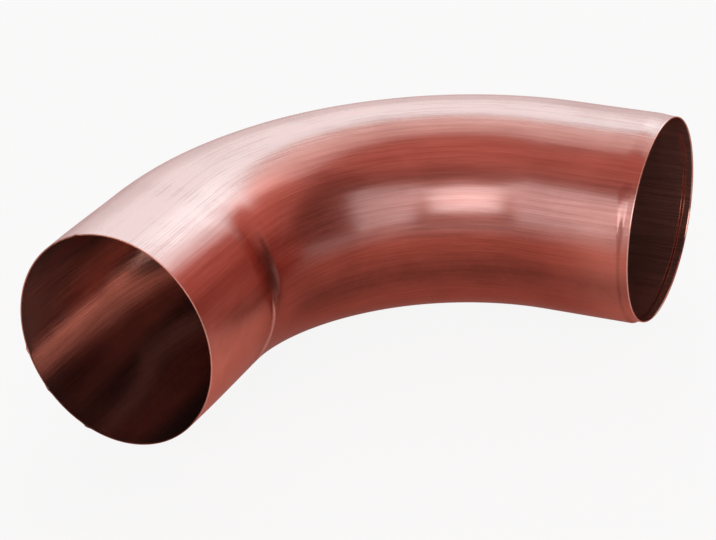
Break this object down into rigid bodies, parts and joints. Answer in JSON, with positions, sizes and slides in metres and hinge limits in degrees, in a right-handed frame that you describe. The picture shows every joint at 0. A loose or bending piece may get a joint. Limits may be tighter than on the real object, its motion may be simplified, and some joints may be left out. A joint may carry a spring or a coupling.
{
  "type": "downspout elbow",
  "caption": "Thin-walled round copper downspout elbow turning a pipe through a right angle, with a socket end, a necked-in spigot end and a crease across its throat.",
  "frame": {"origin": "middle of the bounding box at the underside, where the elbow lies on the ground on its side", "axes": "+X out of the spigot along its axis, -Y out of the socket along its axis, +Z square to the bend's plane"},
  "size_m": [0.2368, 0.2514, 0.1014],
  "materials": {
    "copper": null
  },
  "bodies": {
    "root": {"elbow_pipe": "copper"}
  },
  "joints": []
}
